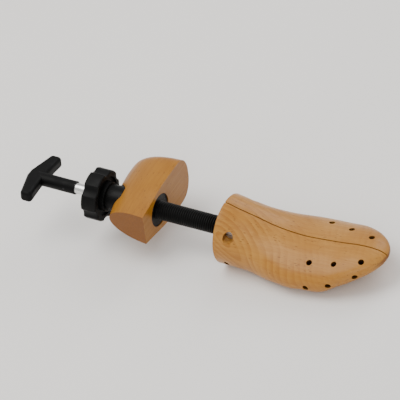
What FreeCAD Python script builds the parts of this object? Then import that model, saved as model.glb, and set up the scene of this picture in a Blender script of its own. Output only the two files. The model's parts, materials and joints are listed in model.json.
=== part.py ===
import FreeCAD, Part
import math
import os
import Sketcher

# Two-way shoe stretcher: a split wooden toe block and a wooden heel block on one threaded tube.
#
# Every piece is drawn about the tube: X runs along the tube towards the toe, Z is up in the plane of the
# split, and X = 0 is the toe block's rear face. One placement then tips the whole stretcher so that the
# sole lies flat on z = 0. The heel block, the knob and the handle are also turned about the tube.

Vector = FreeCAD.Vector
Rotation = FreeCAD.Rotation
Placement = FreeCAD.Placement

DRIVING_SIZES = {
    # threaded tube and its M20 x 2.5 outside thread
    "tube_radius": 10.0,
    "tube_front": 50.0,
    "tube_rear": 158.5,
    "sole_tilt": 7.3,
    # clearances
    "running_fit": 0.08,
    "free_gap": 0.3,
    "slot_gap": 0.5,
    # toe block
    "block_length": 186.0,
    "rear_radius": 36.6,
    "waist_half_width": 37.4,
    "shank_half_width": 43.0,
    "ball_half_width": 48.6,
    "fore_half_width": 47.6,
    "waist_top": 27.6,
    "shank_top": 21.0,
    "ball_top": 18.3,
    "fore_top": 21.4,
    "toe_tip_height": 19.0,
    "sole_cut": 1.6,
    "kerf": 1.5,
    # plug holes
    "plug_radius": 3.2,
    "plug_depth": 13.0,
    # cross bolt above the tube
    "bolt_place": 16.2,
    "bolt_height": 17.0,
    "bolt_radius": 2.5,
    "bolt_head_radius": 4.7,
    "bolt_head_length": 3.2,
    "bolt_head_rear": 21.6,
    "spring_pocket_radius": 5.6,
    "spring_pocket_floor": 12.0,
    "spring_wire_radius": 0.55,
    "spring_coil_radius": 4.2,
    "spring_turns": 4.0,
    # guide dowels
    "dowel_radius": 3.0,
    "dowel_half_length": 21.0,
    "rear_dowel_place": 11.5,
    "rear_dowel_height": -17.5,
    "front_dowel_place": 126.0,
    "front_dowel_height": 1.0,
    # flange and nut on the tube's front end
    "flange_rear": 36.0,
    "flange_thickness": 4.0,
    "flange_half_width": 18.0,
    "flange_half_height": 16.0,
    "flange_nut_radius": 15.0,
    "flange_nut_length": 7.0,
    # spindle
    "spindle_radius": 4.0,
    "spindle_front": 112.0,
    "journal_radius": 5.7,
    "ring_radius": 7.0,
    "ring_thickness": 1.2,
    "washer_radius": 8.5,
    "washer_thickness": 0.8,
    # spreader wedge and wear plates
    "wedge_rear": 58.0,
    "wedge_length": 24.0,
    "wedge_rear_half_width": 12.0,
    "wedge_half_height": 8.0,
    "wedge_slope": 0.2,
    "wedge_stroke": 24.0,
    "plate_thickness": 1.6,
    "plate_length": 38.0,
    "plate_screw_radius": 1.2,
    "plate_screw_length": 11.0,
    "plate_screw_recess": 0.7,
    # heel block
    "heel_front": 80.5,
    "heel_drop": 35.3,
    "heel_rise": 64.0,
    "heel_depth": 48.5,
    "heel_half_width": 26.6,
    "heel_sole_half_width": 17.9,
    "heel_sole_tilt": 7.0,
    "heel_turn": -92.0,
    # heel bush and collar
    "bush_flange_radius": 18.0,
    "bush_flange_thickness": 4.0,
    "bush_recess": 1.0,
    "bush_sleeve_radius": 12.5,
    "bush_sleeve_length": 24.0,
    "bush_screw_circle": 15.2,
    "bush_screw_radius": 1.1,
    "bush_screw_head_radius": 2.1,
    "bush_screw_length": 14.0,
    "collar_radius": 15.0,
    "collar_neck_radius": 13.6,
    "collar_seat_depth": 40.0,
    "collar_sleeve": 10.0,
    # length knob
    "knob_radius": 27.2,
    "knob_thickness": 17.4,
    "knob_flute_radius": 11.0,
    "knob_flute_depth": 2.6,
    "knob_hub_radius": 16.0,
    "knob_hub_length": 3.6,
    "knob_dish_radius": 21.0,
    "knob_dish_depth": 2.4,
    "knob_turn": 12.5,
    # T-handle
    "handle_length": 71.0,
    "handle_sweep": 8.0,
    "handle_depth": 18.5,
    "handle_tip_depth": 12.5,
    "handle_thickness": 13.0,
    "handle_rounding": 4.0,
    "handle_neck_radius": 7.1,
    "handle_neck_length": 37.0,
    "handle_gap": 19.0,
    "handle_bore_radius": 4.4,
    "handle_pin_radius": 1.25,
    "handle_turn": -96.8,
}

doc = FreeCAD.newDocument("shoe_stretcher")
sheet = doc.addObject("Spreadsheet::Sheet", "Sizes")
for row, (alias, value) in enumerate(DRIVING_SIZES.items(), start=1):
    sheet.set(f"A{row}", alias)
    sheet.set(f"B{row}", str(value))
    sheet.setAlias(f"B{row}", alias)
doc.recompute()


def size(alias):
    """A driving dimension, read from the sheet."""
    return float(getattr(sheet, alias))


# ---------------------------------------------------------------- places worked out from the sizes
tilt = math.radians(size("sole_tilt"))
axis_height = (size("rear_radius") - size("sole_cut")) * math.cos(tilt)
origin_shift = 62.0
half_gap = size("kerf") / 2
knob_rear = -(size("tube_rear") + 1.1)
knob_front = knob_rear + size("knob_thickness")
heel_face = -size("heel_front")
heel_seat = heel_face - size("collar_seat_depth")
handle_front = knob_rear - size("handle_gap")
wedge_front = size("wedge_rear") + size("wedge_length")


def placed(turn=0.0):
    """The stretcher's placement: turned about the tube, then tipped so that the sole lies on z = 0."""
    roll = Placement(Vector(0, 0, 0), Rotation(Vector(1, 0, 0), turn))
    tip = Rotation(Vector(0, 1, 0), size("sole_tilt"))
    return Placement(Vector(-origin_shift, 0, axis_height), tip).multiply(roll)


# ---------------------------------------------------------------- helpers
nodes = []


def keep(item, label, turn=0.0):
    """Name a finished sub-part, place it and list it for export."""
    item.Label = label
    item.Placement = placed(turn).multiply(item.Placement)
    nodes.append(item)


ALONG = Vector(1, 0, 0)
ACROSS = Vector(0, 1, 0)
UPWARD = Vector(0, 0, 1)


def at(x=0.0, y=0.0, z=0.0):
    return Vector(x, y, z)


def cylinder(name, radius, length, start, direction=ALONG):
    """A cylinder from start along direction; radius and length are expressions of the sheet's cells."""
    item = doc.addObject("Part::Cylinder", name)
    item.setExpression("Radius", radius)
    item.setExpression("Height", length)
    item.Placement = Placement(start, Rotation(UPWARD, direction))
    return item


def cone(name, first, second, length, start, direction=ALONG):
    item = doc.addObject("Part::Cone", name)
    item.setExpression("Radius1", first)
    item.setExpression("Radius2", second)
    item.setExpression("Height", length)
    item.Placement = Placement(start, Rotation(UPWARD, direction))
    return item


def box(name, low, high):
    """A box between two corners."""
    item = doc.addObject("Part::Box", name)
    item.Length, item.Width, item.Height = high - low
    item.Placement.Base = low
    return item


def solid(name, shape):
    item = doc.addObject("Part::Feature", name)
    item.Shape = shape
    return item


def prism(name, points, low, high):
    """A flat outline of (x, y) points raised from low to high along Z."""
    corners = [Vector(x, y, low) for x, y in points]
    face = Part.Face(Part.makePolygon(corners + corners[:1]))
    return solid(name, face.extrude(Vector(0, 0, high - low)))


def fuse(name, items):
    result = doc.addObject("Part::MultiFuse", name)
    result.Shapes = items
    return result


def cut(name, base, tools):
    """Base with each tool taken away."""
    result = doc.addObject("Part::Cut", name)
    result.Base = base
    result.Tool = tools[0] if len(tools) == 1 else fuse(f"{name}_tools", tools)
    return result


def plane(body, role):
    for feature in body.Origin.OriginFeatures:
        if feature.Role == role:
            return feature
    raise RuntimeError(f"{body.Name} has no {role}")


def new_sketch(body, name, role, offset="0"):
    """A sketch on one of the body's origin planes, lifted along the plane's normal by offset."""
    sketch = body.newObject("Sketcher::SketchObject", name)
    sketch.AttachmentSupport = [(plane(body, role), "")]
    sketch.MapMode = "FlatFace"
    sketch.setExpression("AttachmentOffset.Base.z", offset)
    return sketch


def add_circle(sketch, radius, x=0.0, y=0.0):
    """A circle whose radius follows an expression of the sheet's cells."""
    index = sketch.addGeometry(Part.Circle(Vector(x, y, 0), UPWARD, 1.0))
    constraint = sketch.addConstraint(Sketcher.Constraint("Radius", index, 1.0))
    sketch.setExpression(f"Constraints[{constraint}]", radius)


def add_outline(sketch, points):
    """A closed outline of straight lines."""
    corners = [Vector(x, y, 0) for x, y in points]
    for start, end in zip(corners, corners[1:] + corners[:1]):
        sketch.addGeometry(Part.LineSegment(start, end))


def extrude(body, kind, name, sketch, length, both=False):
    """A Pad or Pocket along the sketch's normal, checked to add or take away material."""
    before = body.Shape.Volume if body.Tip else 0.0
    feature = body.newObject(f"PartDesign::{kind}", name)
    feature.Profile = sketch
    feature.setExpression("Length", length)
    feature.Midplane = both
    feature.Reversed = kind == "Pocket"
    doc.recompute()
    change = feature.Shape.Volume - before
    if (change if kind == "Pad" else -change) < 1e-3:
        raise RuntimeError(f"{name} in {body.Name} changes nothing")
    return feature


# ---------------------------------------------------------------- toe block
def smooth(place, knots):
    """A smooth curve through (place, value) knots: cubic pieces with averaged slopes at the knots."""
    slopes = []
    for index in range(len(knots)):
        before = knots[max(index - 1, 0)]
        after = knots[min(index + 1, len(knots) - 1)]
        slopes.append((after[1] - before[1]) / (after[0] - before[0]))
    for index in range(len(knots) - 1):
        (start, first), (end, last) = knots[index], knots[index + 1]
        if place <= end or index == len(knots) - 2:
            break
    span = end - start
    share = (place - start) / span
    bend_in = span * slopes[index]
    bend_out = span * slopes[index + 1]
    return (
        first * (2 * share**3 - 3 * share**2 + 1)
        + bend_in * (share**3 - 2 * share**2 + share)
        + last * (3 * share**2 - 2 * share**3)
        + bend_out * (share**3 - share**2)
    )


FORE_PLACE = 125.0
SECTION_STEPS = 10
BODY_STEPS = 9
NOSE_STEPS = 8
DRILL_LEAD = 6.0
WEDGE_GAP = 0.1


def body_station(place):
    """Half width, top, bottom, height of the widest point and squareness of the foot, up to the nose."""
    rear = size("rear_radius")
    width = [
        (0.0, rear),
        (35.0, size("waist_half_width")),
        (60.0, size("shank_half_width")),
        (90.0, size("ball_half_width")),
        (FORE_PLACE, size("fore_half_width")),
    ]
    top_line = [
        (0.0, rear),
        (35.0, size("waist_top")),
        (60.0, size("shank_top")),
        (90.0, size("ball_top")),
        (FORE_PLACE, size("fore_top")),
    ]
    half_width = smooth(place, width)
    top = smooth(place, top_line)
    bottom = -rear + math.tan(tilt) * place
    blend = min(1.0, place / 60.0)
    widest = bottom + (0.5 - 0.04 * blend) * (top - bottom)
    return half_width, top, bottom, widest, 2.0 + 0.5 * blend


def nose_station(share):
    """The same five values in the nose, where share runs from 0 at its root to 1 at the tip."""
    half_width, top, bottom, widest, foot = body_station(FORE_PLACE)
    narrow = half_width * (1 - share**1.3) ** 0.5
    over = (top - widest) * (1 - share**0.68) ** 0.5
    under = (widest - bottom) * (1 - share**2.0) ** 0.5
    middle = widest + (size("toe_tip_height") - widest) * (1 - (1 - share) ** 1.5)
    return narrow, middle + over, middle - under, middle, foot


def station_at(place):
    """The five values at any place along the toe block."""
    if place <= FORE_PLACE:
        return body_station(place)
    return nose_station((place - FORE_PLACE) / (size("block_length") - FORE_PLACE))


def skin_point(place, angle, side):
    """A point of the toe block's skin, at an angle in degrees up from the section's widest point."""
    half_width, top, bottom, widest, foot = station_at(place)
    turn = math.radians(angle)
    power = 1.0 if angle >= 0 else 2 / foot
    rise = (top - widest) if angle >= 0 else (widest - bottom)
    across = half_gap + (half_width - half_gap) * abs(math.cos(turn)) ** power
    height = widest + math.copysign(rise * abs(math.sin(turn)) ** power, turn)
    return at(place, side * across, height)


def toe_blank(name, side):
    """One half of the toe block, lofted through its cross sections."""
    nose = size("block_length") - FORE_PLACE
    places = [FORE_PLACE * step / BODY_STEPS for step in range(BODY_STEPS + 1)]
    for step in range(1, NOSE_STEPS):
        places.append(FORE_PLACE + nose * math.sin(math.pi / 2 * step / NOSE_STEPS))
    wires = []
    for place in places:
        angles = [90 - 180 * step / SECTION_STEPS for step in range(SECTION_STEPS + 1)]
        points = [skin_point(place, angle, side) for angle in angles]
        curve = Part.BSplineCurve()
        curve.interpolate(points)
        closing = Part.LineSegment(points[-1], points[0])
        wires.append(Part.Wire([curve.toShape(), closing.toShape()]))
    tip = Part.Vertex(at(size("block_length"), side * half_gap, size("toe_tip_height")))
    return solid(name, Part.makeLoft(wires + [tip], True, False))


def drill(name, place, angle, side):
    """A plug hole, square to the skin."""
    surface = skin_point(place, angle, side)
    along = skin_point(place + 1.0, angle, side) - skin_point(place - 1.0, angle, side)
    around = skin_point(place, angle + 1.0, side) - skin_point(place, angle - 1.0, side)
    inward = along.cross(around) * side
    inward.normalize()
    return cylinder(
        name,
        "Sizes.plug_radius",
        f"Sizes.plug_depth + {DRILL_LEAD}",
        surface - inward * DRILL_LEAD,
        inward,
    )


def ramp(place):
    """Distance of a wear plate's inner face from the split plane at rest."""
    return size("wedge_rear_half_width") + WEDGE_GAP - size("wedge_slope") * (place - size("wedge_rear"))


# plug holes: the place along the block and the angle up from the widest point
LOWER_PLUGS = [(112.0, -6.0), (137.0, -6.0), (163.0, -8.0)]
UPPER_PLUGS = {
    -1: [(110.5, 50.0), (138.0, 50.0), (166.0, 48.0)],
    1: [(106.0, 51.0), (133.0, 59.0), (161.0, 64.0)],
}
plate_rear = size("wedge_rear") - 1.0
plate_end = plate_rear + size("plate_length")
plate_thickness = size("plate_thickness")
plate_half_height = size("wedge_half_height") + 0.4
screw_places = (plate_rear + 6.0, plate_end - 6.0)
HEAD_FLARE = 2.0
MOUTH_LEAD = 1.3


def wedge_pocket(name, side):
    """The hollow in one half for the wedge, its wear plate and the spindle's end."""
    gap = size("free_gap")
    channel = size("spindle_radius") + 1.0
    points = [
        (plate_rear - 3.0, -1.0),
        (plate_rear - 3.0, ramp(plate_rear) + plate_thickness + 2.0),
        (plate_rear, ramp(plate_rear) + plate_thickness + 2.0),
        (plate_rear, ramp(plate_rear) + plate_thickness),
        (plate_end, ramp(plate_end) + plate_thickness),
        (plate_end, channel),
        (size("spindle_front") + 3.0, channel),
        (size("spindle_front") + 3.0, -1.0),
    ]
    half_height = plate_half_height + gap
    return prism(name, [(x, side * y) for x, y in points], -half_height, half_height)


def plate_screw(name, side, place):
    """One countersunk wear plate screw, or the hole for it, square to the split plane."""
    radius = size("plate_screw_radius")
    start = at(place, side * (ramp(place) + size("plate_screw_recess")), 0)
    shank = Part.makeCylinder(radius, size("plate_screw_length"), start, ACROSS * side)
    head = Part.makeCone(radius * HEAD_FLARE, radius, radius, start, ACROSS * side)
    return solid(name, shank.fuse(head).removeSplitter())


def toe_half(name, side):
    """One half of the toe block with everything that is drilled and cut into it."""
    gap = size("free_gap")
    far = 80.0
    inner = at(0, -side * 2.0, 0)
    tools = [
        cylinder(f"{name}_tube_bore", "Sizes.tube_radius + Sizes.slot_gap", "Sizes.flange_rear + 2", at(-1)),
        cylinder(
            f"{name}_nut_bore",
            "Sizes.flange_nut_radius + Sizes.slot_gap",
            "Sizes.tube_front - Sizes.flange_rear",
            at(size("flange_rear") + 1.5),
        ),
        cylinder(
            f"{name}_spindle_bore",
            "Sizes.ring_radius + 1.0",
            "Sizes.wedge_rear - Sizes.flange_rear",
            at(size("flange_rear") + 1.0),
        ),
        box(
            f"{name}_flange_slot",
            at(
                size("flange_rear") - gap,
                -size("flange_half_width") - gap,
                -size("flange_half_height") - gap,
            ),
            at(
                size("flange_rear") + size("flange_thickness") + gap,
                size("flange_half_width") + gap,
                size("flange_half_height") + gap,
            ),
        ),
        wedge_pocket(f"{name}_wedge_pocket", side),
        cylinder(
            f"{name}_bolt_hole",
            "Sizes.bolt_radius + Sizes.running_fit",
            "40",
            at(size("bolt_place"), -side * 2.0, size("bolt_height")),
            ACROSS * side,
        ),
        cylinder(
            f"{name}_spring_pocket",
            "Sizes.spring_pocket_radius",
            "40",
            at(size("bolt_place"), side * size("spring_pocket_floor"), size("bolt_height")),
            ACROSS * side,
        ),
        cylinder(
            f"{name}_rear_dowel_hole",
            "Sizes.dowel_radius" + ("" if side > 0 else " + Sizes.running_fit"),
            "60",
            at(size("rear_dowel_place"), 0, size("rear_dowel_height")) + inner,
            ACROSS * side,
        ),
        cylinder(
            f"{name}_front_dowel_hole",
            "Sizes.dowel_radius" + ("" if side > 0 else " + Sizes.running_fit"),
            "Sizes.dowel_half_length + 2.0" + ("" if side > 0 else " + 1.0"),
            at(size("front_dowel_place"), 0, size("front_dowel_height")) + inner,
            ACROSS * side,
        ),
    ]
    for index, place in enumerate(screw_places):
        tools.append(plate_screw(f"{name}_screw_hole_{index}", side, place))
    for index, (place, angle) in enumerate(UPPER_PLUGS[side] + LOWER_PLUGS):
        tools.append(drill(f"{name}_plug_{index}", place, angle, side))
    sole = box(f"{name}_sole", at(-far, -far, -20.0), at(220.0, far, 0.0))
    sole.Placement = placed().inverse().multiply(sole.Placement)
    tools.append(sole)
    keep(cut(name, toe_blank(f"{name}_blank", side), tools), name)


def wear_plate(name, side):
    inner_rear, inner_end = ramp(plate_rear), ramp(plate_end)
    points = [
        (plate_rear, side * inner_rear),
        (plate_end, side * inner_end),
        (plate_end, side * (inner_end + plate_thickness)),
        (plate_rear, side * (inner_rear + plate_thickness)),
    ]
    blank = prism(f"{name}_blank", points, -plate_half_height, plate_half_height)
    holes = [plate_screw(f"{name}_hole_{i}", side, x) for i, x in enumerate(screw_places)]
    mouths = [
        cylinder(
            f"{name}_mouth_{i}",
            f"Sizes.plate_screw_radius * {HEAD_FLARE}",
            f"Sizes.plate_screw_recess + {MOUTH_LEAD}",
            at(x, side * (ramp(x) - MOUTH_LEAD), 0),
            ACROSS * side,
        )
        for i, x in enumerate(screw_places)
    ]
    keep(cut(name, blank, holes + mouths), name)


def plate_screws(name, side):
    parts = [plate_screw(f"{name}_{i}", side, x) for i, x in enumerate(screw_places)]
    group = doc.addObject("Part::Compound", name)
    group.Links = parts
    keep(group, name)


for half, side in (("right", -1), ("left", 1)):
    toe_half(f"toe_half_{half}", side)
    wear_plate(f"wear_plate_{half}", side)
    plate_screws(f"plate_screws_{half}", side)

# ---------------------------------------------------------------- tube and what is fixed to it
tube_length = "Sizes.tube_rear + Sizes.tube_front"
tube_end = at(-size("tube_rear"))
keep(
    cut(
        "threaded_tube",
        cylinder("tube_outside", "Sizes.tube_radius", tube_length, tube_end),
        [
            cylinder(
                "tube_bore",
                "Sizes.spindle_radius + Sizes.running_fit",
                f"{tube_length} + 2",
                tube_end - ALONG,
            )
        ],
    ),
    "threaded_tube",
)
flange_low = at(size("flange_rear"), -size("flange_half_width"), -size("flange_half_height"))
flange_high = at(
    size("flange_rear") + size("flange_thickness"),
    size("flange_half_width"),
    size("flange_half_height"),
)
keep(
    cut(
        "tube_flange",
        box("flange_plate", flange_low, flange_high),
        [
            cylinder(
                "flange_bore",
                "Sizes.tube_radius",
                "Sizes.flange_thickness + 2",
                at(size("flange_rear") - 1),
            )
        ],
    ),
    "tube_flange",
)
nut_start = at(size("flange_rear") + size("flange_thickness"))
keep(
    cut(
        "flange_nut",
        cylinder("nut_outside", "Sizes.flange_nut_radius", "Sizes.flange_nut_length", nut_start),
        [cylinder("nut_bore", "Sizes.tube_radius", "Sizes.flange_nut_length + 2", nut_start - ALONG)],
    ),
    "flange_nut",
)


# ---------------------------------------------------------------- cross bolt, springs and dowels
bolt_axis = at(size("bolt_place"), 0, size("bolt_height"))
head_face = size("bolt_head_rear")
head_end = head_face + size("bolt_head_length")
bolt_length = "Sizes.bolt_head_rear * 2 + Sizes.bolt_head_length"
keep(
    cut(
        "cross_bolt",
        fuse(
            "bolt_solid",
            [
                cylinder(
                    "bolt_shank",
                    "Sizes.bolt_radius",
                    bolt_length,
                    bolt_axis - ACROSS * head_face,
                    ACROSS,
                ),
                cylinder(
                    "bolt_head",
                    "Sizes.bolt_head_radius",
                    "Sizes.bolt_head_length",
                    bolt_axis - ACROSS * head_face,
                    -ACROSS,
                ),
            ],
        ),
        [box("bolt_slot", bolt_axis + at(-6, -head_end - 1, -0.6), bolt_axis + at(6, 1.2 - head_end, 0.6))],
    ),
    "cross_bolt",
)
nut_blank = doc.addObject("Part::Prism", "bolt_nut_blank")
nut_blank.Polygon = 6
nut_blank.setExpression("Circumradius", "Sizes.bolt_head_radius + 0.4")
nut_blank.setExpression("Height", "Sizes.bolt_head_length")
nut_blank.Placement = Placement(bolt_axis + ACROSS * head_face, Rotation(UPWARD, ACROSS))
keep(
    cut(
        "cross_bolt_nut",
        nut_blank,
        [
            cylinder(
                "bolt_nut_bore",
                "Sizes.bolt_radius",
                "Sizes.bolt_head_length + 2",
                bolt_axis + ACROSS * (head_face - 1),
                ACROSS,
            )
        ],
    ),
    "cross_bolt_nut",
)


def pressure_spring(name, side):
    """A coil spring between the bolt's head, or its nut, and the floor of the spring pocket."""
    wire = size("spring_wire_radius")
    length = head_face - size("spring_pocket_floor") - 2 * wire - 0.1
    turns = size("spring_turns")
    coil = size("spring_coil_radius")
    helix = Part.makeLongHelix(length / turns, length, coil)
    profile = Part.Wire(Part.Circle(Vector(coil, 0, 0), Vector(0, 1, 0), wire).toShape())
    pipe = Part.Wire(helix).makePipeShell([profile], True, True)
    spring = solid(name, pipe)
    start = bolt_axis + ACROSS * side * (size("spring_pocket_floor") + wire + 0.05)
    spring.Placement = Placement(start, Rotation(UPWARD, ACROSS * side))
    keep(spring, name)


pressure_spring("spring_right", -1)
pressure_spring("spring_left", 1)


def dowel(name, place, height):
    start = at(place, -size("dowel_half_length"), height)
    keep(cylinder(name, "Sizes.dowel_radius", "Sizes.dowel_half_length * 2", start, ACROSS), name)


dowel("guide_dowel_rear", size("rear_dowel_place"), size("rear_dowel_height"))
dowel("guide_dowel_front", size("front_dowel_place"), size("front_dowel_height"))

# ---------------------------------------------------------------- spindle group
ring_start = size("tube_front") + 0.3
washer_start = -size("tube_rear") - size("washer_thickness") - 0.1
pin_place = handle_front - 12.0
keep(
    cut(
        "spindle",
        fuse(
            "spindle_solid",
            [
                cylinder(
                    "spindle_rod",
                    "Sizes.spindle_radius",
                    str(size("spindle_front") - washer_start),
                    at(washer_start),
                ),
                cylinder(
                    "spindle_journal",
                    "Sizes.journal_radius",
                    str(washer_start - handle_front),
                    at(handle_front),
                ),
                cylinder(
                    "spindle_tang",
                    "Sizes.handle_bore_radius",
                    "Sizes.handle_neck_length",
                    at(handle_front - size("handle_neck_length")),
                ),
            ],
        ),
        [
            cut(
                "ring_groove",
                cylinder(
                    "groove_outside",
                    "Sizes.spindle_radius + 1",
                    "Sizes.ring_thickness",
                    at(ring_start),
                ),
                [
                    cylinder(
                        "groove_inside",
                        "Sizes.spindle_radius - 0.8",
                        "Sizes.ring_thickness + 2",
                        at(ring_start - 1),
                    )
                ],
            ),
            cylinder(
                "tang_pin_hole",
                "Sizes.handle_pin_radius",
                "40",
                at(pin_place, 0, -20),
                UPWARD,
            ),
        ],
    ),
    "spindle",
    size("handle_turn"),
)
keep(
    cut(
        "retaining_ring",
        cylinder("ring_outside", "Sizes.ring_radius", "Sizes.ring_thickness", at(ring_start)),
        [
            cylinder(
                "ring_inside",
                "Sizes.spindle_radius - 0.8",
                "Sizes.ring_thickness + 2",
                at(ring_start - 1),
            ),
            box("ring_mouth", at(ring_start - 1, -2.2, 0), at(ring_start + 3, 2.2, 12)),
        ],
    ),
    "retaining_ring",
    size("handle_turn"),
)
keep(
    cut(
        "thrust_washer",
        cylinder("washer_outside", "Sizes.washer_radius", "Sizes.washer_thickness", at(washer_start)),
        [
            cylinder(
                "washer_inside",
                "Sizes.spindle_radius",
                "Sizes.washer_thickness + 2",
                at(washer_start - 1),
            )
        ],
    ),
    "thrust_washer",
    size("handle_turn"),
)


def t_handle():
    """The moulded T-handle: a swept cross bar with its apex to the rear, on a round neck."""
    body = doc.addObject("PartDesign::Body", "t_handle")
    apex = handle_front - size("handle_neck_length") - size("handle_depth")
    reach = size("handle_length") / 2
    root = 9.0
    tip_rear = apex + size("handle_sweep")
    tip_front = tip_rear + size("handle_tip_depth")
    outline = [
        (apex, -root / 2),
        (tip_rear, -reach),
        (tip_front, -reach),
        (apex + size("handle_depth"), -root),
        (apex + size("handle_depth"), root),
        (tip_front, reach),
        (tip_rear, reach),
        (apex, root / 2),
    ]
    sketch = new_sketch(body, "handle_outline", "XZ_Plane")
    add_outline(sketch, outline)
    bar = extrude(body, "Pad", "handle_bar", sketch, "Sizes.handle_thickness", both=True)
    ends = [
        f"Edge{index}"
        for index, edge in enumerate(bar.Shape.Edges, start=1)
        if abs(edge.tangentAt(edge.FirstParameter).y) > 0.9
    ]
    corners = body.newObject("PartDesign::Fillet", "handle_corners")
    corners.Base = (bar, ends)
    corners.setExpression("Radius", "Sizes.handle_rounding")
    doc.recompute()
    rims = [
        f"Edge{index}"
        for index, edge in enumerate(corners.Shape.Edges, start=1)
        if abs(abs(edge.CenterOfMass.y) - size("handle_thickness") / 2) < 1e-3
    ]
    rounded = body.newObject("PartDesign::Fillet", "handle_rims")
    rounded.Base = (corners, rims)
    rounded.setExpression("Radius", "Sizes.handle_rounding")
    doc.recompute()
    neck = new_sketch(body, "neck_circle", "YZ_Plane", str(handle_front - size("handle_neck_length") - 8.0))
    add_circle(neck, "Sizes.handle_neck_radius")
    extrude(body, "Pad", "handle_neck", neck, "Sizes.handle_neck_length + 8.0")
    bore = new_sketch(body, "bore_circle", "YZ_Plane", str(handle_front - size("handle_neck_length")))
    add_circle(bore, "Sizes.handle_bore_radius")
    extrude(body, "Pocket", "handle_bore", bore, "Sizes.handle_neck_length + 1.0")
    pin_hole = new_sketch(body, "pin_circle", "XY_Plane", "-20")
    add_circle(pin_hole, "Sizes.handle_pin_radius", pin_place)
    extrude(body, "Pocket", "handle_pin_hole", pin_hole, "40")
    keep(body, "t_handle", size("handle_turn"))


t_handle()
keep(
    cylinder(
        "handle_pin",
        "Sizes.handle_pin_radius",
        "Sizes.handle_neck_radius * 2 - 0.6",
        at(pin_place, 0, 0.3 - size("handle_neck_radius")),
        UPWARD,
    ),
    "handle_pin",
    size("handle_turn"),
)

# ---------------------------------------------------------------- spreader wedge
rear_half = size("wedge_rear_half_width")
front_half = rear_half - size("wedge_slope") * size("wedge_length")
wedge_points = [
    (size("wedge_rear"), -rear_half),
    (wedge_front, -front_half),
    (wedge_front, front_half),
    (size("wedge_rear"), rear_half),
]
keep(
    cut(
        "spreader_wedge",
        prism("wedge_blank", wedge_points, -size("wedge_half_height"), size("wedge_half_height")),
        [
            cylinder(
                "wedge_thread",
                "Sizes.spindle_radius + Sizes.running_fit",
                "Sizes.wedge_length + 2",
                at(size("wedge_rear") - 1),
            )
        ],
    ),
    "spreader_wedge",
)


# ---------------------------------------------------------------- heel block, bush, collar and knob
def heel_blank():
    """The heel block: D-shaped level sections, flat in front, closing to a rounded crown."""
    drop, rise = size("heel_drop"), size("heel_rise")
    shoulder = 0.63 * rise
    widths = [
        (-drop - 8.0, size("heel_sole_half_width") - 1.2),
        (-drop, size("heel_sole_half_width")),
        (-0.44 * drop, 0.8 * size("heel_half_width")),
        (0.13 * rise, 0.955 * size("heel_half_width")),
        (shoulder, size("heel_half_width")),
    ]
    depths = [
        (-drop - 8.0, 0.86 * size("heel_depth")),
        (-drop, 0.88 * size("heel_depth")),
        (0.0, 1.05 * size("heel_depth")),
        (0.4 * rise, 1.13 * size("heel_depth")),
        (shoulder, 1.14 * size("heel_depth")),
    ]
    levels = []
    low = -drop - 8.0
    for step in range(9):
        height = low + (shoulder - low) * step / 8
        levels.append((height, smooth(height, widths), smooth(height, depths)))
    for step in range(1, 8):
        share = math.sin(math.radians(11.5 * step))
        levels.append(
            (
                shoulder + (rise - shoulder) * share,
                size("heel_half_width") * (1 - share**3) ** 0.5,
                1.14 * size("heel_depth") * (1 - 0.22 * share**3),
            )
        )
    wires = []
    for height, half_width, depth in levels:
        points = []
        for step in range(13):
            angle = math.pi * step / 12 - math.pi / 2
            points.append(at(heel_face - depth * math.cos(angle), half_width * math.sin(angle), height))
        points[0].x = points[-1].x = heel_face
        curve = Part.BSplineCurve()
        curve.interpolate(points)
        front = Part.LineSegment(points[-1], points[0])
        wires.append(Part.Wire([curve.toShape(), front.toShape()]))
    return solid("heel_blank", Part.makeLoft(wires, True, False))


def bush_screw(name, index, extra):
    """One countersunk bush screw, or the space for it, with its head's face in the flange's face."""
    turn = math.radians(120 * index - 21)
    circle = size("bush_screw_circle")
    face = heel_face - size("bush_recess")
    start = at(face + extra, circle * math.sin(turn), circle * math.cos(turn))
    head = Part.makeCylinder(size("bush_screw_head_radius"), 1.0 + extra, start, -ALONG)
    flare = Part.makeCone(
        size("bush_screw_head_radius"),
        size("bush_screw_radius"),
        1.2,
        start - ALONG * (1.0 + extra),
        -ALONG,
    )
    shank = Part.makeCylinder(
        size("bush_screw_radius"), size("bush_screw_length") + extra, start, -ALONG
    )
    return solid(name, head.fuse([flare, shank]).removeSplitter())


def heel_block():
    far = 90.0
    sole = box("heel_sole_cut", at(-far, -far, -40.0), at(20.0, far, 0))
    lean = Placement(at(heel_face, 0, -size("heel_drop")), Rotation(ACROSS, size("heel_sole_tilt")))
    sole.Placement = lean.multiply(sole.Placement)
    front_lip = box("heel_front_cut", at(heel_face, -far, -far), at(heel_face + 9, far, far))
    tools = [
        sole,
        front_lip,
        cylinder(
            "heel_bore",
            "Sizes.bush_sleeve_radius",
            "90",
            at(heel_face + 1),
            -ALONG,
        ),
        cylinder(
            "heel_flange_seat",
            "Sizes.bush_flange_radius",
            "Sizes.bush_flange_thickness + Sizes.bush_recess + 1",
            at(heel_face + 1),
            -ALONG,
        ),
        cylinder(
            "heel_collar_seat",
            "Sizes.collar_radius + Sizes.slot_gap",
            "60",
            at(heel_seat),
            -ALONG,
        ),
    ]
    tools += [bush_screw(f"heel_screw_hole_{index}", index, 0.0) for index in range(3)]
    keep(cut("heel_block", heel_blank(), tools), "heel_block", size("heel_turn"))


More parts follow.
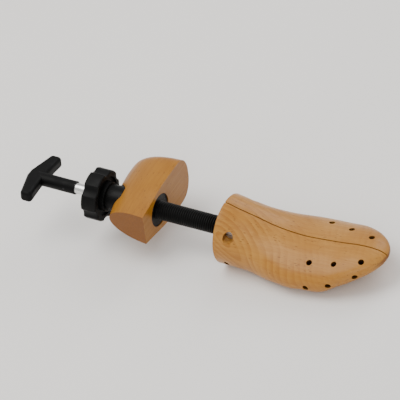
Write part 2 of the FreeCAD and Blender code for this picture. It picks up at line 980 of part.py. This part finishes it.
heel_block()
bush_face = at(heel_face - size("bush_recess"))
keep(
    cut(
        "heel_bush",
        fuse(
            "bush_solid",
            [
                cylinder(
                    "bush_flange",
                    "Sizes.bush_flange_radius",
                    "Sizes.bush_flange_thickness",
                    bush_face,
                    -ALONG,
                ),
                cylinder(
                    "bush_sleeve",
                    "Sizes.bush_sleeve_radius",
                    "Sizes.bush_sleeve_length",
                    bush_face,
                    -ALONG,
                ),
            ],
        ),
        [
            cylinder(
                "bush_bore",
                "Sizes.tube_radius + Sizes.running_fit",
                "Sizes.bush_sleeve_length + 2",
                bush_face + ALONG,
                -ALONG,
            )
        ]
        + [bush_screw(f"bush_screw_hole_{index}", index, 1.0) for index in range(3)],
    ),
    "heel_bush",
    size("heel_turn"),
)
screws = doc.addObject("Part::Compound", "bush_screws")
screws.Links = [bush_screw(f"bush_screw_{index}", index, 0.0) for index in range(3)]
keep(screws, "bush_screws", size("heel_turn"))

collar_rear = knob_front + size("knob_hub_length") + size("free_gap")
collar_length = str(heel_seat - size("free_gap") - collar_rear)
keep(
    cut(
        "heel_collar",
        fuse(
            "collar_solid",
            [
                cone(
                    "collar_cone",
                    "Sizes.collar_neck_radius",
                    "Sizes.collar_radius",
                    collar_length,
                    at(collar_rear),
                ),
                cylinder(
                    "collar_spigot",
                    "Sizes.bush_sleeve_radius - Sizes.running_fit",
                    f"{collar_length} + Sizes.collar_sleeve",
                    at(collar_rear),
                ),
            ],
        ),
        [
            cylinder(
                "collar_bore",
                "Sizes.tube_radius + Sizes.running_fit",
                "60",
                at(collar_rear - 1),
            )
        ],
    ),
    "heel_collar",
)


def length_knob():
    """The knob that runs on the tube's thread: six lobes and a raised hub towards the heel."""
    body = doc.addObject("PartDesign::Body", "length_knob")
    rim = new_sketch(body, "knob_circle", "YZ_Plane", str(knob_rear))
    add_circle(rim, "Sizes.knob_radius")
    extrude(body, "Pad", "knob_disc", rim, "Sizes.knob_thickness")
    flute = new_sketch(body, "flute_circle", "YZ_Plane", str(knob_rear - 1.0))
    place = size("knob_radius") + size("knob_flute_radius") - size("knob_flute_depth")
    turn = math.radians(30.0)
    add_circle(flute, "Sizes.knob_flute_radius", place * math.sin(turn), place * math.cos(turn))
    groove = extrude(body, "Pocket", "knob_flute", flute, "Sizes.knob_thickness + 2.0")
    flutes = body.newObject("PartDesign::PolarPattern", "knob_flutes")
    flutes.Originals = [groove]
    flutes.Axis = (plane(body, "X_Axis"), [""])
    flutes.Angle = 360.0
    flutes.Occurrences = 6
    body.Tip = flutes
    doc.recompute()
    rims = [
        f"Edge{index}"
        for index, edge in enumerate(flutes.Shape.Edges, start=1)
        if min(abs(edge.CenterOfMass.x - knob_rear), abs(edge.CenterOfMass.x - knob_front)) < 1e-3
    ]
    rounded = body.newObject("PartDesign::Fillet", "knob_rims")
    rounded.Base = (flutes, rims)
    rounded.Radius = 1.8
    doc.recompute()
    dish = new_sketch(body, "dish_circle", "YZ_Plane", str(knob_front - size("knob_dish_depth")))
    add_circle(dish, "Sizes.knob_dish_radius")
    extrude(body, "Pocket", "knob_dish", dish, "Sizes.knob_dish_depth + 1.0")
    hub = new_sketch(body, "hub_circle", "YZ_Plane", str(knob_front - size("knob_dish_depth") - 1.0))
    add_circle(hub, "Sizes.knob_hub_radius")
    extrude(body, "Pad", "knob_hub", hub, "Sizes.knob_hub_length + Sizes.knob_dish_depth + 1.0")
    bore = new_sketch(body, "knob_bore_circle", "YZ_Plane", str(knob_rear - 1.0))
    add_circle(bore, "Sizes.tube_radius + Sizes.running_fit")
    extrude(body, "Pocket", "knob_bore", bore, "40")
    keep(body, "length_knob", size("knob_turn"))


length_knob()

# ---------------------------------------------------------------- check and export
doc.recompute()
for item in doc.Objects:
    if any(word in state for state in item.State for word in ("Invalid", "Error")):
        raise RuntimeError(f"{item.Name} failed: {item.State}")
os.makedirs("parts", exist_ok=True)
for item in nodes:
    shape = item.Shape
    if shape.isNull() or not shape.isValid() or not shape.Solids:
        raise RuntimeError(f"{item.Label} has no valid solid")
    shape.exportStep(f"parts/{item.Label}.step")
    print(f"{item.Label:20s} {len(shape.Solids)} solids, {shape.Volume / 1000:8.2f} cm3")
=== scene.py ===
import json
import math

import bpy
from mathutils import Matrix, Vector

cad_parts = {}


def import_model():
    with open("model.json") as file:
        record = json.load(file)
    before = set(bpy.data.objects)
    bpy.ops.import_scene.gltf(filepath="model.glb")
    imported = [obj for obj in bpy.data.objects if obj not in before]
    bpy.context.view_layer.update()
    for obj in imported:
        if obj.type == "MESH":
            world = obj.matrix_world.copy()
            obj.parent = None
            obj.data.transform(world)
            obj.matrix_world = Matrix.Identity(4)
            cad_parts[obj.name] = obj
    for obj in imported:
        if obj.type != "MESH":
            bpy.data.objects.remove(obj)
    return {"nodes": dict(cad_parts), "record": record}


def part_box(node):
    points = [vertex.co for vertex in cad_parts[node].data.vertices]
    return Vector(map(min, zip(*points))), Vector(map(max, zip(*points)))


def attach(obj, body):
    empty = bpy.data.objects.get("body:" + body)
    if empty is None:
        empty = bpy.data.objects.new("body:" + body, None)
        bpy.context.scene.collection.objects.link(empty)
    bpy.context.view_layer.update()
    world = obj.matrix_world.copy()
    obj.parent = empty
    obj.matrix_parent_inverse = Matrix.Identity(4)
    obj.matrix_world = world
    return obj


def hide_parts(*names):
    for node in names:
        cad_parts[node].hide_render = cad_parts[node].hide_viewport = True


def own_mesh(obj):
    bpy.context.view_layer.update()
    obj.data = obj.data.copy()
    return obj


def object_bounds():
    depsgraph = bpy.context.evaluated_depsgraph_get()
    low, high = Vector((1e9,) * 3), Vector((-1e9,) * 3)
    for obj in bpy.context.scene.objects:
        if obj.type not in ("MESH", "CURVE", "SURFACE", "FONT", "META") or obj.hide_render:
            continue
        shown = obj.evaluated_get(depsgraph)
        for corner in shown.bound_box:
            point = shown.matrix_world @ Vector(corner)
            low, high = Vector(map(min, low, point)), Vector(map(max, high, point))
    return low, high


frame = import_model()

CAD_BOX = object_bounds()
JOINTS = {joint["name"]: joint for joint in frame["record"]["behaviour"]["joints"]}
TUBE_POINT = Vector(JOINTS["handle_spin"]["pos_m"])
TUBE_AXIS = Vector(JOINTS["handle_spin"]["axis"]).normalized()
SIDEWAYS = Vector((0.0, 1.0, 0.0))
TUBE_UP = TUBE_AXIS.cross(SIDEWAYS).normalized()


def in_tube(x, y, z):
    """A point given along the tube, across it and above it, in the part's frame."""
    return TUBE_POINT + TUBE_AXIS * x + SIDEWAYS * y + TUBE_UP * z


def span(node):
    """How far a node reaches along the tube, and its largest distance from the tube's axis."""
    places = []
    reach = 0.0
    for vertex in frame["nodes"][node].data.vertices:
        offset = vertex.co - TUBE_POINT
        along = offset.dot(TUBE_AXIS)
        places.append(along)
        reach = max(reach, (offset - TUBE_AXIS * along).length)
    return min(places), max(places), reach


# ---------------------------------------------------------------- material helpers
class Shader:
    """A material's node tree with short ways to add nodes."""

    def __init__(self, name):
        self.material = bpy.data.materials.new(name)
        self.material.use_nodes = True
        self.tree = self.material.node_tree
        self.tree.nodes.clear()
        self.surface = self.add("ShaderNodeBsdfPrincipled")
        output = self.add("ShaderNodeOutputMaterial")
        self.link(self.surface.outputs["BSDF"], output.inputs["Surface"])
        self.coordinates = self.add("ShaderNodeTexCoord")
        self.place = self.coordinates.outputs["Object"]

    def add(self, kind, **settings):
        node = self.tree.nodes.new(kind)
        for key, value in settings.items():
            setattr(node, key, value)
        return node

    def link(self, source, target):
        self.tree.links.new(source, target)

    def feed(self, socket, value):
        if isinstance(value, bpy.types.NodeSocket):
            self.link(value, socket)
        else:
            socket.default_value = value

    def math(self, operation, first, second=0.0):
        node = self.add("ShaderNodeMath", operation=operation)
        self.feed(node.inputs[0], first)
        self.feed(node.inputs[1], second)
        return node.outputs[0]

    def remap(self, value, low, high, first=0.0, last=1.0):
        """Value from low..high onto first..last, held at the ends."""
        node = self.add("ShaderNodeMapRange", interpolation_type="SMOOTHSTEP")
        for socket, given in zip(node.inputs, (value, low, high, first, last)):
            self.feed(socket, given)
        return node.outputs[0]

    def stretch(self, vector, scale, turn=(0.0, 0.0, 0.0), shift=(0.0, 0.0, 0.0)):
        node = self.add("ShaderNodeMapping")
        self.feed(node.inputs["Vector"], vector)
        node.inputs["Location"].default_value = shift
        node.inputs["Rotation"].default_value = turn
        node.inputs["Scale"].default_value = scale
        return node.outputs[0]

    def noise(self, vector, scale=1.0, detail=3.0, roughness=0.5, colour=False):
        node = self.add("ShaderNodeTexNoise")
        self.feed(node.inputs["Vector"], vector)
        node.inputs["Scale"].default_value = scale
        node.inputs["Detail"].default_value = detail
        node.inputs["Roughness"].default_value = roughness
        return node.outputs["Color" if colour else "Fac"]

    def blend(self, share, first, second):
        node = self.add("ShaderNodeMix", data_type="RGBA")
        self.feed(node.inputs[0], share)
        self.feed(node.inputs[6], first)
        self.feed(node.inputs[7], second)
        return node.outputs[2]

    def bump(self, height, strength, distance, below=None):
        node = self.add("ShaderNodeBump")
        node.inputs["Strength"].default_value = strength
        node.inputs["Distance"].default_value = distance
        self.link(height, node.inputs["Height"])
        if below is not None:
            self.link(below, node.inputs["Normal"])
        return node.outputs["Normal"]

    def set(self, **values):
        for name, value in values.items():
            self.feed(self.surface.inputs[name.replace("_", " ")], value)


def linear(red, green, blue):
    """A display colour out of 255, as the linear colour that the shader takes."""
    def one(value):
        share = value / 255
        return share / 12.92 if share <= 0.04045 else ((share + 0.055) / 1.055) ** 2.4
    return one(red), one(green), one(blue), 1.0


def turned_about(shader, point, axis):
    """Object coordinates with Z along axis and the origin at point."""
    turn = axis.to_track_quat("Z", "Y").inverted().to_euler()
    offset = -(turn.to_matrix() @ point)
    return shader.stretch(shader.place, (1.0, 1.0, 1.0), tuple(turn), tuple(offset))


# Colour and reach of the painted shade that darkens the wood in holes, along the split and in other recesses.
RECESS_SHADE = linear(32, 17, 9)
RECESS_SHADE_REACH = 0.007


def wood(name, heart, ring_axis, grain, ring, contrast, pale, warm, dark, end):
    """Varnished beech: growth rings round a line through heart, and fibres and flecks along grain."""
    shader = Shader(name)
    grain = grain.normalized()
    local = turned_about(shader, heart, ring_axis.normalized())
    fibres = turned_about(shader, heart, grain)
    wander = shader.noise(shader.stretch(local, (16.0, 16.0, 5.0)), detail=2.0, colour=True)
    pushed = shader.add("ShaderNodeVectorMath", operation="MULTIPLY_ADD")
    shader.link(wander, pushed.inputs[0])
    pushed.inputs[1].default_value = (0.017, 0.017, 0.0)
    shader.link(local, pushed.inputs[2])
    flat = shader.add("ShaderNodeVectorMath", operation="MULTIPLY")
    shader.link(pushed.outputs[0], flat.inputs[0])
    flat.inputs[1].default_value = (1.0, 1.0, 0.0)
    length = shader.add("ShaderNodeVectorMath", operation="LENGTH")
    shader.link(flat.outputs[0], length.inputs[0])
    count = shader.math("DIVIDE", length.outputs["Value"], ring)
    share = shader.math("FRACT", count)
    rise = shader.remap(share, 0.15, 0.92)
    fall = shader.remap(share, 0.93, 1.0, 1.0, 0.0)
    near = shader.remap(length.outputs["Value"], 0.020, 0.085, 1.0, 0.35)
    uneven = shader.remap(shader.noise(shader.place, 34.0, detail=2.0), 0.35, 0.6, 0.25, 1.0)
    late = shader.math("MULTIPLY", shader.math("MULTIPLY", rise, fall), shader.math("MULTIPLY", near, uneven))
    fibre = shader.noise(shader.stretch(fibres, (2600.0, 2600.0, 90.0)), detail=3.0, roughness=0.6)
    streak = shader.noise(shader.stretch(fibres, (420.0, 420.0, 14.0)), detail=3.0)
    cloud = shader.noise(shader.place, 22.0, detail=2.0)
    spots = shader.add("ShaderNodeTexVoronoi", feature="F1")
    shader.link(shader.stretch(fibres, (480.0, 480.0, 120.0)), spots.inputs["Vector"])
    spots.inputs["Scale"].default_value = 1.0
    patch = shader.remap(shader.noise(shader.place, 70.0, detail=2.0), 0.42, 0.62)
    fleck = shader.math("MULTIPLY", shader.remap(spots.outputs["Distance"], 0.12, 0.26, 1.0, 0.0), patch)
    toward = shader.add("ShaderNodeVectorMath", operation="DOT_PRODUCT")
    shader.link(shader.coordinates.outputs["Normal"], toward.inputs[0])
    toward.inputs[1].default_value = tuple(grain)
    facing = shader.math("ABSOLUTE", toward.outputs["Value"])
    ended = shader.remap(facing, 0.72, 0.97)
    colour = shader.blend(shader.remap(cloud, 0.3, 0.7), pale, warm)
    colour = shader.blend(shader.math("MULTIPLY", late, contrast), colour, dark)
    colour = shader.blend(shader.remap(streak, 0.35, 0.75, 0.0, 0.30), colour, dark)
    colour = shader.blend(shader.remap(fibre, 0.35, 0.7, 0.0, 0.20), colour, dark)
    colour = shader.blend(shader.math("MULTIPLY", fleck, 0.7), colour, end)
    pores = shader.noise(shader.place, 1900.0, detail=2.0, roughness=0.7)
    cut_end = shader.blend(shader.remap(pores, 0.35, 0.7), end, dark)
    colour = shader.blend(shader.math("MULTIPLY", ended, 0.85), colour, cut_end)
    # Painted shade: an ambient occlusion node darkens the colour toward a dark brown wherever the wood is
    # sheltered, such as in holes, along the split and in other recesses.
    shelter = shader.add("ShaderNodeAmbientOcclusion", samples=12, only_local=True)
    shelter.inputs["Distance"].default_value = RECESS_SHADE_REACH
    recess_shade = shader.remap(shelter.outputs["AO"], 0.30, 0.86, 0.93, 0.0)
    colour = shader.blend(recess_shade, colour, RECESS_SHADE)
    varnish = shader.remap(streak, 0.2, 0.8, 0.30, 0.40)
    rough = shader.math("ADD", varnish, shader.math("MULTIPLY", ended, 0.12))
    fine = shader.bump(fibre, 0.12, 0.0002)
    relief = shader.bump(shader.noise(shader.place, 60.0, detail=1.0), 0.10, 0.0008, fine)
    shader.set(Base_Color=colour, Roughness=rough, Normal=relief, IOR=1.5)
    shader.set(Specular_IOR_Level=0.22, Coat_Weight=0.06, Coat_Roughness=0.20)
    return shader.material


def plastic(name, base, worn, low_rough, high_rough, grain_strength=0.16):
    """Moulded black plastic: fine spark-eroded grain, cloudy sheen and a little paler dust."""
    shader = Shader(name)
    grain = shader.noise(shader.place, 2400.0, detail=2.0)
    cloud = shader.noise(shader.place, 75.0, detail=3.0)
    flow = shader.noise(shader.stretch(shader.place, (30.0, 160.0, 160.0)), detail=3.0)
    dust = shader.math("MULTIPLY", shader.remap(cloud, 0.45, 0.72), shader.remap(grain, 0.4, 0.7))
    colour = shader.blend(shader.math("MULTIPLY", dust, 0.5), base, worn)
    colour = shader.blend(shader.remap(flow, 0.4, 0.7, 0.0, 0.35), colour, worn)
    rough = shader.remap(cloud, 0.3, 0.7, low_rough, high_rough)
    shader.set(Base_Color=colour, Roughness=rough, Normal=shader.bump(grain, grain_strength, 0.0001))
    shader.set(IOR=1.49, Specular_IOR_Level=0.13)
    return shader.material


TURNED_MARKS = (3200.0, 60.0, 60.0)
DRAWN_MARKS = (500.0, 500.0, 2400.0)


def metal(name, bright, dull, low_rough, high_rough, turned, metallic=1.0):
    """Plated or turned metal: turned marks run round the tube's axis, with faint stains."""
    shader = Shader(name)
    pitch = math.atan2(-TUBE_AXIS.z, TUBE_AXIS.x)
    level = shader.stretch(shader.place, (1.0, 1.0, 1.0), (0.0, -pitch, 0.0))
    stretched = TURNED_MARKS if turned else DRAWN_MARKS
    marks = shader.noise(shader.stretch(level, stretched), detail=3.0)
    stain = shader.noise(shader.place, 110.0, detail=4.0)
    colour = shader.blend(shader.remap(stain, 0.4, 0.75, 0.0, 0.5), bright, dull)
    colour = shader.blend(shader.remap(marks, 0.35, 0.7, 0.0, 0.35), colour, dull)
    rough = shader.remap(marks, 0.3, 0.7, low_rough, high_rough)
    relief = shader.bump(marks, 0.10, 0.00006)
    shader.set(Base_Color=colour, Roughness=rough, Metallic=metallic, Normal=relief)
    return shader.material


def floor_material():
    shader = Shader("studio_floor")
    mottle = shader.noise(shader.place, 9.0, detail=2.0)
    colour = shader.blend(mottle, linear(237, 235, 232), linear(240, 238, 235))
    shader.set(Base_Color=colour, Roughness=shader.remap(mottle, 0.3, 0.7, 0.9, 0.96), Specular_IOR_Level=0.1)
    return shader.material


MATERIALS = {
    "toe_wood": wood(
        "toe_beech",
        in_tube(0.012, -0.022, 0.026),
        TUBE_AXIS * 0.75 + SIDEWAYS * 0.1 - TUBE_UP * 0.65,
        TUBE_AXIS + TUBE_UP * 0.05,
        0.0050,
        0.50,
        linear(180, 130, 62),
        linear(170, 118, 49),
        linear(138, 82, 24),
        linear(84, 46, 16),
    ),
    "heel_wood": wood(
        "heel_beech",
        in_tube(-0.260, 0.0, 0.130),
        SIDEWAYS + TUBE_AXIS * 0.06,
        SIDEWAYS,
        0.0034,
        0.24,
        linear(159, 108, 37),
        linear(151, 99, 31),
        linear(126, 74, 18),
        linear(98, 58, 24),
    ),
    "tube_plastic": plastic("tube_nylon", linear(4, 4, 4), linear(10, 10, 10), 0.34, 0.46, 0.06),
    "knob_plastic": plastic("knob_moulding", linear(5, 5, 5), linear(13, 13, 13), 0.42, 0.58),
    "handle_plastic": plastic("handle_moulding", linear(2, 2, 2), linear(6, 6, 6), 0.44, 0.60),
    "bush_plastic": plastic("bush_moulding", linear(4, 4, 4), linear(10, 10, 10), 0.36, 0.50, 0.05),
    "bright_steel": metal("turned_steel", linear(226, 226, 224), linear(188, 189, 190), 0.16, 0.30, True),
    "zinc_steel": metal("zinc_plate", linear(196, 198, 200), linear(150, 152, 156), 0.30, 0.45, False),
    "spring_steel": metal("spring_wire", linear(176, 178, 182), linear(128, 130, 134), 0.28, 0.42, True),
    "brass_wedge": metal("machined_brass", linear(214, 178, 104), linear(170, 132, 66), 0.26, 0.40, False),
    "black_screws": metal("black_oxide", linear(44, 44, 46), linear(26, 26, 27), 0.35, 0.50, True, 0.7),
}
SLOTS = {part["node"]: part["material_slot"] for part in frame["record"]["subparts"]}

for node, thing in frame["nodes"].items():
    thing.data.materials.clear()
    thing.data.materials.append(MATERIALS[SLOTS[node]])


# ---------------------------------------------------------------- pieces
def piece(name, points, faces, node, body):
    """A mesh that rides on a body and stands for a CAD node, with that node's finish."""
    mesh = bpy.data.meshes.new(name)
    mesh.from_pydata([tuple(point) for point in points], [], faces)
    mesh.validate()
    mesh.shade_smooth()
    thing = bpy.data.objects.new(name, mesh)
    bpy.context.scene.collection.objects.link(thing)
    mesh.materials.append(MATERIALS[SLOTS[node]])
    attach(thing, body)
    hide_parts(node)
    return thing


def grid_faces(rows, columns, wrap_rows=False):
    """Faces between rows of points, each row a closed ring of columns points."""
    faces = []
    for row in range(rows if wrap_rows else rows - 1):
        here = row * columns
        upper = (row + 1) % rows * columns
        for column in range(columns):
            following = (column + 1) % columns
            faces.append((here + column, here + following, upper + following, upper + column))
    return faces


def threaded_tube():
    """The tube with its M20 x 2.5 thread cut along the outside, open from end to end."""
    start, end, radius = span("threaded_tube")
    bore = 0.00408
    pitch = 0.0025
    depth = 0.00105
    skin = 0.00002
    lead_in = 0.002
    end_chamfer = 0.0006
    around = 56
    step = pitch / 10
    rows = int((end - start) / step)
    points = []
    profile = [(start, bore)]
    profile += [(start + (end - start) * index / rows, None) for index in range(rows + 1)]
    profile += [(end, bore)]
    for along, inside in profile:
        ease = min(1.0, (along - start) / lead_in, (end - along) / lead_in)
        for index in range(around):
            turn = 2 * math.pi * index / around
            if inside is None:
                phase = (along / pitch + turn / (2 * math.pi)) % 1.0
                ridge = min(1.0, max(0.0, 1.5 - abs(phase - 0.5) * 3.6))
                distance = radius - skin - depth * (1 - ridge) - end_chamfer * (1 - max(0.0, ease))
            else:
                distance = inside
            points.append(in_tube(along, distance * math.cos(turn), distance * math.sin(turn)))
    piece("tube_thread", points, grid_faces(len(profile), around, True), "threaded_tube", "tube")


def coil_spring(node, body):
    """A compression spring with closed ends."""
    low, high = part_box(node)
    centre = (Vector(low) + Vector(high)) / 2
    wire = 0.00052
    coil = (high[0] - low[0]) / 2 - wire - 0.00002
    length = high[1] - low[1] - 2 * wire - 0.00004
    turns = 5.5
    around = 10
    rows = int(turns * 28)
    points = []
    for row in range(rows + 1):
        share = row / rows
        turn = 2 * math.pi * turns * share
        lift = min(1.0, max(0.0, (share * turns - 0.8) / (turns - 1.6)))
        out = Vector((math.cos(turn), 0.0, math.sin(turn)))
        middle = centre + out * coil + SIDEWAYS * (length * (lift - 0.5))
        for index in range(around):
            angle = 2 * math.pi * index / around
            points.append(middle + out * (wire * math.cos(angle)) + SIDEWAYS * (wire * math.sin(angle)))
    faces = grid_faces(rows + 1, around)
    faces.append(tuple(range(around))[::-1])
    faces.append(tuple(rows * around + index for index in range(around)))
    thing = piece(f"coil_{node}", points, faces, node, body)
    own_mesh(thing)


def islands(node):
    """The separate solids of a node, each as a list of its points."""
    mesh = frame["nodes"][node].data
    keys = {}
    parent = []
    same = []
    for vertex in mesh.vertices:
        key = tuple(round(value, 6) for value in vertex.co)
        if key not in keys:
            keys[key] = len(parent)
            parent.append(len(parent))
        same.append(keys[key])

    def root(index):
        while parent[index] != index:
            parent[index] = parent[parent[index]]
            index = parent[index]
        return index

    for edge in mesh.edges:
        parent[root(same[edge.vertices[0]])] = root(same[edge.vertices[1]])
    groups = {}
    for vertex in mesh.vertices:
        groups.setdefault(root(same[vertex.index]), []).append(vertex.co.copy())
    return list(groups.values())


def cross_screws(node, body):
    """Countersunk screws with a domed head and a cross recess, where the CAD screws are."""
    points = []
    faces = []
    around = 48
    for number, group in enumerate(islands(node)):
        places = [(point - TUBE_POINT).dot(TUBE_AXIS) for point in group]
        front, rear = max(places), min(places)
        heads = [point for point, place in zip(group, places) if place > front - 0.0001]
        centre = sum(heads, Vector()) / len(heads)
        radius = max((point - centre).length for point in heads) * 0.985
        spin = 0.5 + 1.1 * number
        rings = [(0.0, 0.00085), (0.22, 0.00085), (0.30, 0.00085)]
        rings += [(0.56, 0.0007), (0.62, 0.00002), (0.90, 0.00004)]
        rings += [(1.0, 0.00016), (1.0, 0.0010), (0.55, 0.0021), (0.52, front - rear)]
        first = len(points)
        for share, sunk in rings:
            for index in range(around):
                turn = 2 * math.pi * index / around
                arm = abs(math.sin(2 * (turn - spin)))
                depth = sunk
                if share < 0.6:
                    depth = sunk if sunk > 0.001 or arm < 0.42 or share < 0.25 else 0.00002
                out = SIDEWAYS * math.cos(turn) + TUBE_UP * math.sin(turn)
                points.append(centre + out * (radius * share) - TUBE_AXIS * min(depth, front - rear))
        faces += [tuple(first + corner for corner in face) for face in grid_faces(len(rings), around)]
        faces.append(tuple(first + (len(rings) - 1) * around + index for index in range(around)))
    piece("cross_screws", points, faces, node, body)


threaded_tube()
cross_screws("bush_screws", "heel")
coil_spring("spring_right", "tube")
coil_spring("spring_left", "tube")


# ---------------------------------------------------------------- floor, lights and camera
def floor():
    """A wide pale floor that the toe block's sole rests on."""
    half = 3.0
    cells = 12
    clearance = 0.0002
    level = CAD_BOX[0][2] - clearance
    places = [-half + 2 * half * index / cells for index in range(cells + 1)]
    points = [(x, y, level) for y in places for x in places]
    faces = []
    for row in range(cells):
        for column in range(cells):
            corner = row * (cells + 1) + column
            faces.append((corner, corner + 1, corner + cells + 2, corner + cells + 1))
    mesh = bpy.data.meshes.new("studio_floor")
    mesh.from_pydata(points, [], faces)
    thing = bpy.data.objects.new("studio_floor", mesh)
    bpy.context.scene.collection.objects.link(thing)
    mesh.materials.append(floor_material())


def lamp(name, place, target, width, power, tint=(1.0, 1.0, 1.0)):
    light = bpy.data.lights.new(name, "AREA")
    light.shape = "DISK"
    light.size = width
    light.energy = power
    light.color = tint
    thing = bpy.data.objects.new(name, light)
    thing.location = place
    thing.rotation_euler = (Vector(target) - Vector(place)).to_track_quat("-Z", "Y").to_euler()
    bpy.context.scene.collection.objects.link(thing)


def world(strength):
    backdrop = bpy.data.worlds.new("studio")
    backdrop.use_nodes = True
    background = backdrop.node_tree.nodes["Background"]
    background.inputs["Color"].default_value = (1.0, 0.99, 0.98, 1.0)
    background.inputs["Strength"].default_value = strength
    bpy.context.scene.world = backdrop


def camera(azimuth, elevation, roll, target, width, distance):
    """A long lens at an azimuth and elevation in degrees, turned by roll about its own axis."""
    lens = bpy.data.cameras.new("camera")
    lens.sensor_width = 36.0
    lens.lens = 36.0 * distance / width
    lens.clip_end = 60.0
    thing = bpy.data.objects.new("camera", lens)
    tip, turn = math.radians(elevation), math.radians(azimuth)
    back = Vector((math.sin(turn) * math.cos(tip), -math.cos(turn) * math.cos(tip), math.sin(tip)))
    facing = (-back).to_track_quat("-Z", "Y").to_matrix()
    facing = facing @ Matrix.Rotation(math.radians(roll), 3, "Z")
    thing.matrix_world = Matrix.Translation(Vector(target) + back * distance) @ facing.to_4x4()
    bpy.context.scene.collection.objects.link(thing)
    bpy.context.scene.camera = thing


floor()
world(0.80)
middle = (Vector(CAD_BOX[0]) + Vector(CAD_BOX[1])) / 2
lamp("key_light", middle + Vector((-0.6, -0.2, 1.6)), middle, 1.5, 22.0, (1.0, 0.985, 0.96))
lamp("fill_light", middle + Vector((0.9, -1.3, 0.9)), middle, 1.2, 9.0, (0.97, 0.985, 1.0))
lamp("back_light", middle + Vector((0.2, 1.4, 1.0)), middle, 1.0, 8.0)
camera(38.39, 38.05, -16.98, (-0.0917, 0.0051, 0.0633), 0.412, 12.0)
